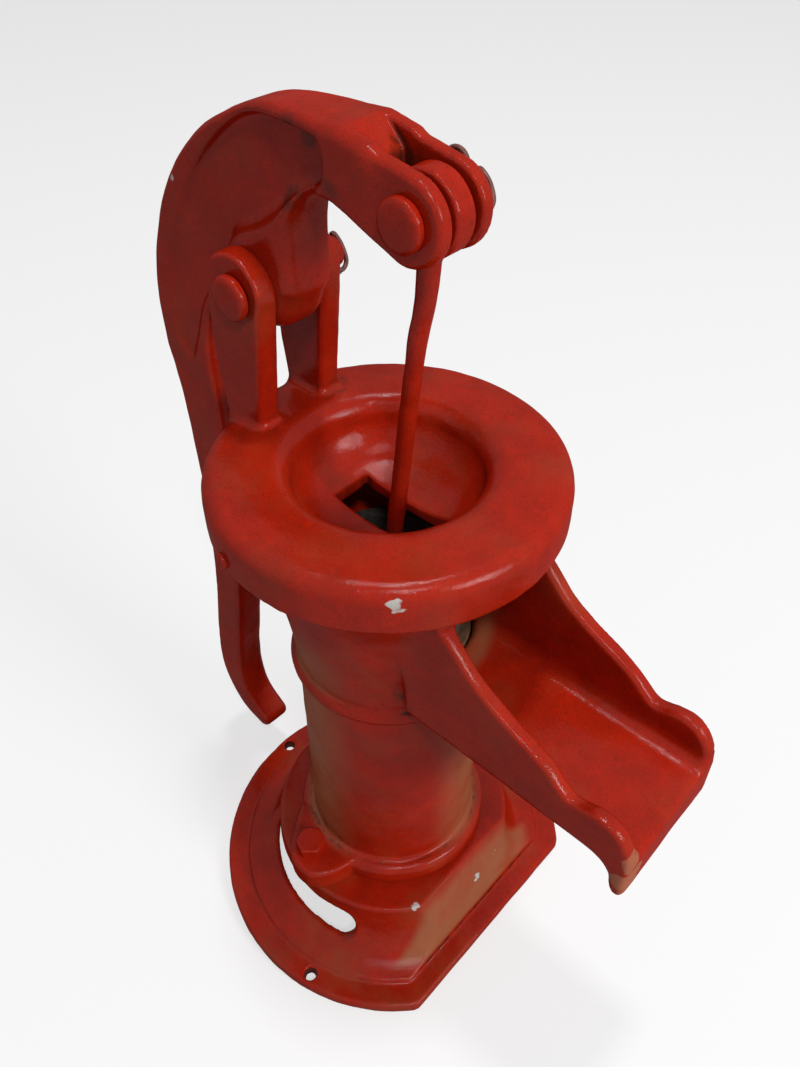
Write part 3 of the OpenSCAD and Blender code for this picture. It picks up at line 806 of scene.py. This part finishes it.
class Nodes:
    """Short ways to add nodes to a material."""

    def __init__(self, name):
        self.material = bpy.data.materials.new(name)
        self.material.use_nodes = True
        self.tree = self.material.node_tree
        self.shader = self.tree.nodes["Principled BSDF"]
        place = self.tree.nodes.new("ShaderNodeTexCoord").outputs["Object"]
        scale = self.add("ShaderNodeVectorMath", operation="SCALE")
        self.tree.links.new(place, scale.inputs[0])
        scale.inputs["Scale"].default_value = MILLIMETRES
        self.place = scale.outputs[0]

    def add(self, kind, **settings):
        node = self.tree.nodes.new(kind)
        for key, value in settings.items():
            setattr(node, key, value)
        return node

    def link(self, source, target):
        self.tree.links.new(source, target)

    def noise(self, size, detail=3.0, roughness=0.55):
        """Noise with lumps of about this size in millimetres."""
        node = self.add("ShaderNodeTexNoise")
        self.link(self.place, node.inputs["Vector"])
        node.inputs["Scale"].default_value = 1.0 / size
        node.inputs["Detail"].default_value = detail
        node.inputs["Roughness"].default_value = roughness
        return node.outputs["Fac"]

    def attribute(self, name):
        return self.add("ShaderNodeAttribute", attribute_name=name).outputs["Fac"]

    def ramp(self, value, low, high, to_low=0.0, to_high=1.0):
        node = self.add("ShaderNodeMapRange", interpolation_type="SMOOTHSTEP")
        self.link(value, node.inputs["Value"])
        for key, number in (("From Min", low), ("From Max", high), ("To Min", to_low), ("To Max", to_high)):
            node.inputs[key].default_value = number
        return node.outputs[0]

    def math(self, operation, a, b):
        node = self.add("ShaderNodeMath", operation=operation)
        for socket, value in zip(node.inputs, (a, b)):
            if isinstance(value, (int, float)):
                socket.default_value = value
            else:
                self.link(value, socket)
        return node.outputs[0]

    def mix(self, factor, a, b):
        node = self.add("ShaderNodeMix", data_type="RGBA")
        self.link(factor, node.inputs[0])
        for socket, value in ((node.inputs[6], a), (node.inputs[7], b)):
            if isinstance(value, tuple):
                socket.default_value = (*value, 1.0)
            else:
                self.link(value, socket)
        return node.outputs[2]

    def near(self, point, size, full=0.75):
        """One inside a ragged spot around a point in millimetres, nothing outside."""
        node = self.add("ShaderNodeVectorMath", operation="DISTANCE")
        self.link(self.place, node.inputs[0])
        node.inputs[1].default_value = point
        lumps = self.ramp(self.noise(1.1 * size, 0.5), 0.3, 0.7, -0.4 * size, 0.4 * size)
        ragged = self.math("ADD", node.outputs["Value"], lumps)
        return self.ramp(ragged, full * size, size, 1.0, 0.0)

    def along(self, direction):
        """Distance from the origin along a direction, in millimetres."""
        node = self.add("ShaderNodeVectorMath", operation="DOT_PRODUCT")
        self.link(self.place, node.inputs[0])
        node.inputs[1].default_value = direction
        return node.outputs["Value"]

    def from_axis(self):
        """Distance from the barrel's axis, in millimetres."""
        squares = [self.math("POWER", self.along(axis), 2.0) for axis in ((1, 0, 0), (0, 1, 0))]
        return self.math("SQRT", self.math("ADD", *squares), 0.0)

    def bump(self, height, strength, distance, normal=None):
        node = self.add("ShaderNodeBump")
        self.link(height, node.inputs["Height"])
        node.inputs["Strength"].default_value = strength
        node.inputs["Distance"].default_value = distance / MILLIMETRES
        if normal is not None:
            self.link(normal, node.inputs["Normal"])
        return node.outputs["Normal"]


# Colours of the enamel and what lies on it or shows through it, among them painted shade for creases and a
# painted warm reflection
RED = (0.40, 0.014, 0.0030)
DEEP_RED = (0.33, 0.012, 0.0030)
ORANGE_RED = (0.46, 0.014, 0.002)
# Grime and speckle colour, also used as painted shade in creases and recesses
GRIME_AND_SHADE = (0.045, 0.012, 0.006)
DUST = (0.25, 0.055, 0.020)
PRIMER = (0.50, 0.47, 0.44)
SCUFF = (0.40, 0.15, 0.075)
# Warm brown painted on as a reflection of warm surroundings
REFLECTION_BROWN = (0.33, 0.105, 0.046)

# Colours of the other pieces
IRON = (0.095, 0.080, 0.072)
DARK_IRON = (0.055, 0.045, 0.040)
STEEL = (0.15, 0.045, 0.030)
DARK_STEEL = (0.08, 0.02, 0.013)
LEATHER = (0.16, 0.085, 0.045)
DARK_LEATHER = (0.06, 0.030, 0.014)

# The enamel's gloss is a thin coat that mirrors strongly, so that pale surroundings don't veil its colour
COAT_WEIGHT = 0.058
COAT_IOR = 2.5
COAT_ROUGHNESS = 0.13


def barrel_flank_reflection(n):
    """One on the two flanks of the barrel that lie across the spout's corner, nothing elsewhere: the mask of
    its painted warm reflection.
    """
    diagonal = math.sqrt(0.5)
    across = n.math("ABSOLUTE", n.along((diagonal, diagonal, 0.0)), 0.0)
    flank = n.ramp(across, 0.35 * barrel_radius, 0.95 * barrel_radius)
    flank = n.math("MULTIPLY", flank, n.ramp(n.from_axis(), barrel_radius, barrel_radius + 7, 1.0, 0.0))
    from_bead = n.math("ABSOLUTE", n.math("SUBTRACT", n.along((0, 0, 1)), bead_height), 0.0)
    return n.math("MULTIPLY", flank, n.ramp(from_bead, 0.8 * bead_size, 1.5 * bead_size))


def base_front_reflection(n):
    """One on the base's flat front, nothing elsewhere: the mask of its painted warm reflection."""
    front = n.ramp(n.along((1, 0, 0)), front_top - 1, front_top + 4)
    return n.math("MULTIPLY", front, n.ramp(n.along((0, 0, 1)), rim_thickness + 2, rim_thickness + 6))


def enamel(name, chips=(), scuffs=(), shade_and_grime_spots=(), dust=0.25, wear=0.25, crease_shade_strength=0.8, painted_reflection=None):
    """Glossy red enamel over a sand casting, with grime and painted shade in its creases, a painted warm
    reflection where a mask is given, and chips.
    """
    n = Nodes(name)
    lump = n.noise(16.0, 4.0)
    speckle = n.noise(0.8, 3.0)
    colour = n.mix(n.ramp(lump, 0.35, 0.68), DEEP_RED, RED)
    colour = n.mix(n.ramp(n.noise(7.0), 0.55, 0.8, 0.0, 0.7), colour, ORANGE_RED)
    colour = n.mix(n.ramp(speckle, 0.32, 0.52, 0.35, 0.0), colour, GRIME_AND_SHADE)
    colour = n.mix(n.ramp(n.noise(30.0, 5.0), 0.45, 0.75, 0.0, dust), colour, DUST)
    edge = n.math("MULTIPLY", n.attribute("edge"), n.ramp(n.noise(5.0), 0.35, 0.6))
    colour = n.mix(n.ramp(edge, 0.35, 0.9, 0.0, wear), colour, ORANGE_RED)
    # Painted shade: darker where the field says the skin lies deep in a crease, as an occlusion would shade
    # it; it also stands for grime and roughens the gloss
    crease = n.math("ADD", n.attribute("crease"), n.ramp(n.noise(4.0), 0.3, 0.7, -0.16, 0.16))
    grime_and_crease_shade = n.ramp(crease, 0.3, 0.72, 0.0, crease_shade_strength)
    # Painted warm reflection, patchy, where the mask is one
    if painted_reflection:
        patchy = n.ramp(n.noise(22.0, 4.0), 0.3, 0.6, 0.6, 0.95)
        colour = n.mix(n.math("MULTIPLY", painted_reflection(n), patchy), colour, REFLECTION_BROWN)
    colour = n.mix(grime_and_crease_shade, colour, GRIME_AND_SHADE)
    # Painted shade and grime: dark spots in recesses, at the listed places
    for x, y, z, size in shade_and_grime_spots:
        colour = n.mix(n.math("MULTIPLY", n.near((x, y, z), size, 0.4), 0.6), colour, GRIME_AND_SHADE)
    for x, y, z, size in scuffs:
        colour = n.mix(n.math("MULTIPLY", n.near((x, y, z), size), 0.7), colour, SCUFF)
    chipped = None
    for x, y, z, size in chips:
        spot = n.near((x, y, z), size)
        chipped = spot if chipped is None else n.math("MAXIMUM", chipped, spot)
    rough_skin = n.ramp(n.noise(9.0), 0.3, 0.7, 0.09, 0.18)
    roughness = n.math("ADD", rough_skin, n.math("MULTIPLY", grime_and_crease_shade, 0.3))
    if chipped is not None:
        colour = n.mix(chipped, colour, PRIMER)
        roughness = n.math("ADD", roughness, n.math("MULTIPLY", chipped, 0.3))
    n.link(colour, n.shader.inputs["Base Color"])
    n.shader.inputs["Specular IOR Level"].default_value = 0.0
    n.link(roughness, n.shader.inputs["Roughness"])
    n.shader.inputs["Coat Weight"].default_value = COAT_WEIGHT
    n.shader.inputs["Coat IOR"].default_value = COAT_IOR
    n.shader.inputs["Coat Roughness"].default_value = COAT_ROUGHNESS
    normal = n.bump(n.noise(4.5, 2.0), 0.4, 0.3)
    normal = n.bump(n.noise(1.1, 3.0, 0.6), 0.5, 0.30, normal)
    n.link(normal, n.shader.inputs["Normal"])
    n.link(normal, n.shader.inputs["Coat Normal"])
    return n.material


def metal(name, colour, dark, roughness, metallic, grain=1.2):
    """Bare or oversprayed metal with a mottled skin."""
    n = Nodes(name)
    n.link(n.mix(n.ramp(n.noise(3.0, 4.0), 0.35, 0.65), dark, colour), n.shader.inputs["Base Color"])
    n.link(n.ramp(n.noise(5.0), 0.3, 0.7, roughness - 0.08, roughness + 0.1), n.shader.inputs["Roughness"])
    n.shader.inputs["Metallic"].default_value = metallic
    n.link(n.bump(n.noise(grain, 3.0), 0.4, 0.2), n.shader.inputs["Normal"])
    return n.material


def leather(name):
    """Oiled brown leather with fine grain."""
    n = Nodes(name)
    n.link(n.mix(n.ramp(n.noise(6.0, 4.0), 0.3, 0.7), DARK_LEATHER, LEATHER), n.shader.inputs["Base Color"])
    n.link(n.ramp(n.noise(2.0), 0.3, 0.7, 0.45, 0.65), n.shader.inputs["Roughness"])
    n.link(n.bump(n.noise(0.9, 2.0), 0.5, 0.2), n.shader.inputs["Normal"])
    return n.material


# Pieces

# The base gets a painted warm reflection on its flat front
base_enamel = enamel(
    "base_enamel", dust=0.5, painted_reflection=base_front_reflection,
    chips=((52.0, -38.0, 45.0, 2.0), (60.5, 5.0, 26.0, 2.2), (58.0, 22.0, 30.0, 1.6)),
)
# The barrel gets a painted warm reflection on its side flanks
body_enamel = enamel(
    "body_enamel", dust=0.3, painted_reflection=barrel_flank_reflection,
    scuffs=((spout_reach, -30.0, 207.0, 7.0), (spout_reach, -30.0, 194.0, 9.0)),
)
# The cap's creases get less painted shade
cap_enamel = enamel("cap_enamel", crease_shade_strength=0.55, chips=((51.5, -51.0, 292.0, 3.2),))
lever_enamel = enamel(
    "lever_enamel", wear=0.4, chips=((-103.0, -8.0, 384.0, 1.6),),
    # Painted shade and grime in the lever's pocket and fork slot
    shade_and_grime_spots=((3.0, 0.0, 408.0, 10.5), (-15.0, -8.0, 406.0, 8.0), (-28.0, -7.0, 417.0, 7.0),
            (-36.0, -9.0, 392.0, 7.0)),
)
small_enamel = enamel("small_enamel", dust=0.1)
bare_iron = metal("bare_iron", IRON, DARK_IRON, 0.55, 0.3)
steel = metal("dull_steel", STEEL, DARK_STEEL, 0.42, 0.15)
oiled_leather = leather("oiled_leather")

# Each casting with its grid steps, fine and quick, and the seed of its skin
castings = (
    ("base_shell", base_field, 1.05, 2.4, "pump", base_enamel, "base_casting", 11),
    ("barrel_and_spout", body_field, 1.3, 3.0, "pump", body_enamel, "body_casting", 23),
    ("cap_with_ears", cap_field, 0.95, 2.2, "pump", cap_enamel, "cap_casting", 37),
    ("hand_lever", lever_field, 0.9, 2.2, "lever", lever_enamel, "handle_casting", 41),
    ("plunger_rod", rod_field, 0.6, 1.2, "rod", small_enamel, "piston_rod", 53),
)
for name, shape, fine_step, quick_step, body, material, node, seed in castings:
    low, high = box_of(node)
    grid = Grid(low, high, fine_step)
    field = np.maximum(rough(grid, shape(grid), seed), -grid.z)
    new_piece(name, cast(name, grid, field), body, material, [node])

for pin, cotter, body, radius, leg in (
    ("fulcrum_pin", "fulcrum_cotter", "pump", fulcrum_pin_radius, fulcrum_cotter_leg),
    ("rod_pin", "rod_cotter", "lever", rod_pin_radius, rod_cotter_leg),
):
    low, high = box_of(pin)
    x, _, z = middle_of(pin)
    mesh = lathe_along_y(pin, x, z, pin_profile(low[1], high[1], radius))
    new_piece("headed_" + pin, mesh, body, small_enamel, [pin])
    mesh = split_pin("wire_" + cotter, x, middle_of(cotter)[1], z, radius, leg)
    new_piece("bent_" + cotter, mesh, body, steel, [cotter])

hardware_step = 0.5
for side in ("near", "far"):
    node = "flange_bolt_" + side
    low, high = box_of(node)
    centre = middle_of(node)
    grid = Grid((low[0], low[1], flange_top - 1), high, hardware_step)
    head = hexagon_head(grid, centre, (high[0] - low[0]) / 2, flange_top - 0.5, high[2])
    new_piece("hexagon_bolt_" + side, cast(node, grid, head), "pump", small_enamel, [node])

low, high = box_of("set_screw")
screw_x, screw_y, screw_z = middle_of("set_screw")
grid = Grid(low - 2, high + 2, hardware_step)
screw = grub_screw_field(grid, screw_z, math.atan2(screw_y, screw_x))
new_piece("grub_screw", cast("grub_screw", grid, screw), "pump", small_enamel, ["set_screw"])

for node, material in (
    ("valve_leather", oiled_leather), ("valve_weight", bare_iron), ("valve_screw", steel),
    ("wrist_pin", steel), ("plunger_cage", bare_iron), ("plunger_poppet", oiled_leather),
    ("cup_leather", oiled_leather), ("plunger_follower", bare_iron),
):
    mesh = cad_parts[node].data
    mesh.materials.clear()
    mesh.materials.append(material)


# Floor, light and camera, in metres

floor_reach = 6.0
floor_lift = 0.62
world_ambient = 0.26

# Each lamp's name, place, size and power
lamps = (
    ("overhead", (-0.10, 0.30, 3.00), 0.26, 26.0),
    ("spout_side", (2.00, 0.15, 1.15), 0.60, 26.0),
    ("sparkle", (1.25, -0.90, 2.50), 0.30, 18.0),
)
lamp_target = (0.0, 0.0, 0.2)

camera_place = (0.1920, -0.2017, 0.5158)
camera_heading = (-0.4967, 0.5394, -0.6800)
camera_roll = -0.17
camera_lens = 30.28
camera_sensor = 36.0


def seen_directly(tree):
    """One for rays from the camera, a mirror or glass."""
    path = tree.nodes.new("ShaderNodeLightPath")
    seen = path.outputs["Is Camera Ray"]
    for name in ("Is Glossy Ray", "Is Transmission Ray"):
        either = tree.nodes.new("ShaderNodeMath")
        either.operation = "MAXIMUM"
        tree.links.new(seen, either.inputs[0])
        tree.links.new(path.outputs[name], either.inputs[1])
        seen = either.outputs[0]
    return seen


def floor_material():
    """Pale floor that takes shadows, lifted towards white where it is seen."""
    material = bpy.data.materials.new("pale_floor")
    material.use_nodes = True
    tree = material.node_tree
    tree.nodes.remove(tree.nodes["Principled BSDF"])
    bounced = tree.nodes.new("ShaderNodeBsdfDiffuse")
    bounced.inputs["Color"].default_value = (0.42, 0.40, 0.38, 1.0)
    lit = tree.nodes.new("ShaderNodeBsdfDiffuse")
    lit.inputs["Color"].default_value = (0.93, 0.93, 0.93, 1.0)
    glow = tree.nodes.new("ShaderNodeEmission")
    glow.inputs["Color"].default_value = (0.99, 0.985, 0.985, 1.0)
    seen = tree.nodes.new("ShaderNodeMixShader")
    seen.inputs["Fac"].default_value = floor_lift
    tree.links.new(lit.outputs[0], seen.inputs[1])
    tree.links.new(glow.outputs[0], seen.inputs[2])
    either = tree.nodes.new("ShaderNodeMixShader")
    tree.links.new(seen_directly(tree), either.inputs["Fac"])
    tree.links.new(bounced.outputs[0], either.inputs[1])
    tree.links.new(seen.outputs[0], either.inputs[2])
    tree.links.new(either.outputs[0], tree.nodes["Material Output"].inputs["Surface"])
    return material


def add_floor():
    mesh = bpy.data.meshes.new("floor")
    corners = [(floor_reach * x, floor_reach * y, 0) for x, y in ((-1, -1), (1, -1), (1, 1), (-1, 1))]
    mesh.from_pydata(corners, [], [(0, 1, 2, 3)])
    mesh.materials.append(floor_material())
    floor = bpy.data.objects.new("floor", mesh)
    bpy.context.scene.collection.objects.link(floor)


def add_world():
    """White to camera, mirror and glass, dimmer as a light."""
    world = bpy.data.worlds.new("studio")
    bpy.context.scene.world = world
    world.use_nodes = True
    tree = world.node_tree
    background = tree.nodes["Background"]
    background.inputs["Color"].default_value = (1.0, 1.0, 1.0, 1.0)
    strength = tree.nodes.new("ShaderNodeMapRange")
    tree.links.new(seen_directly(tree), strength.inputs["Value"])
    strength.inputs["To Min"].default_value = world_ambient
    strength.inputs["To Max"].default_value = 1.0
    tree.links.new(strength.outputs[0], background.inputs["Strength"])


def add_lamp(name, place, size, power):
    lamp = bpy.data.lights.new(name, "AREA")
    lamp.size = size
    lamp.energy = power
    holder = bpy.data.objects.new(name, lamp)
    holder.location = place
    holder.rotation_euler = (Vector(lamp_target) - Vector(place)).to_track_quat("-Z", "Y").to_euler()
    bpy.context.scene.collection.objects.link(holder)


def add_camera():
    camera = bpy.data.cameras.new("camera")
    camera.lens = camera_lens
    camera.sensor_width = camera_sensor
    holder = bpy.data.objects.new("camera", camera)
    holder.location = camera_place
    holder.rotation_euler = Vector(camera_heading).to_track_quat("-Z", "Y").to_euler()
    holder.rotation_euler.rotate_axis("Z", math.radians(camera_roll))
    bpy.context.scene.collection.objects.link(holder)
    bpy.context.scene.camera = holder


add_floor()
add_world()
for lamp in lamps:
    add_lamp(*lamp)
add_camera()
bpy.context.scene.view_settings.view_transform = "Standard"
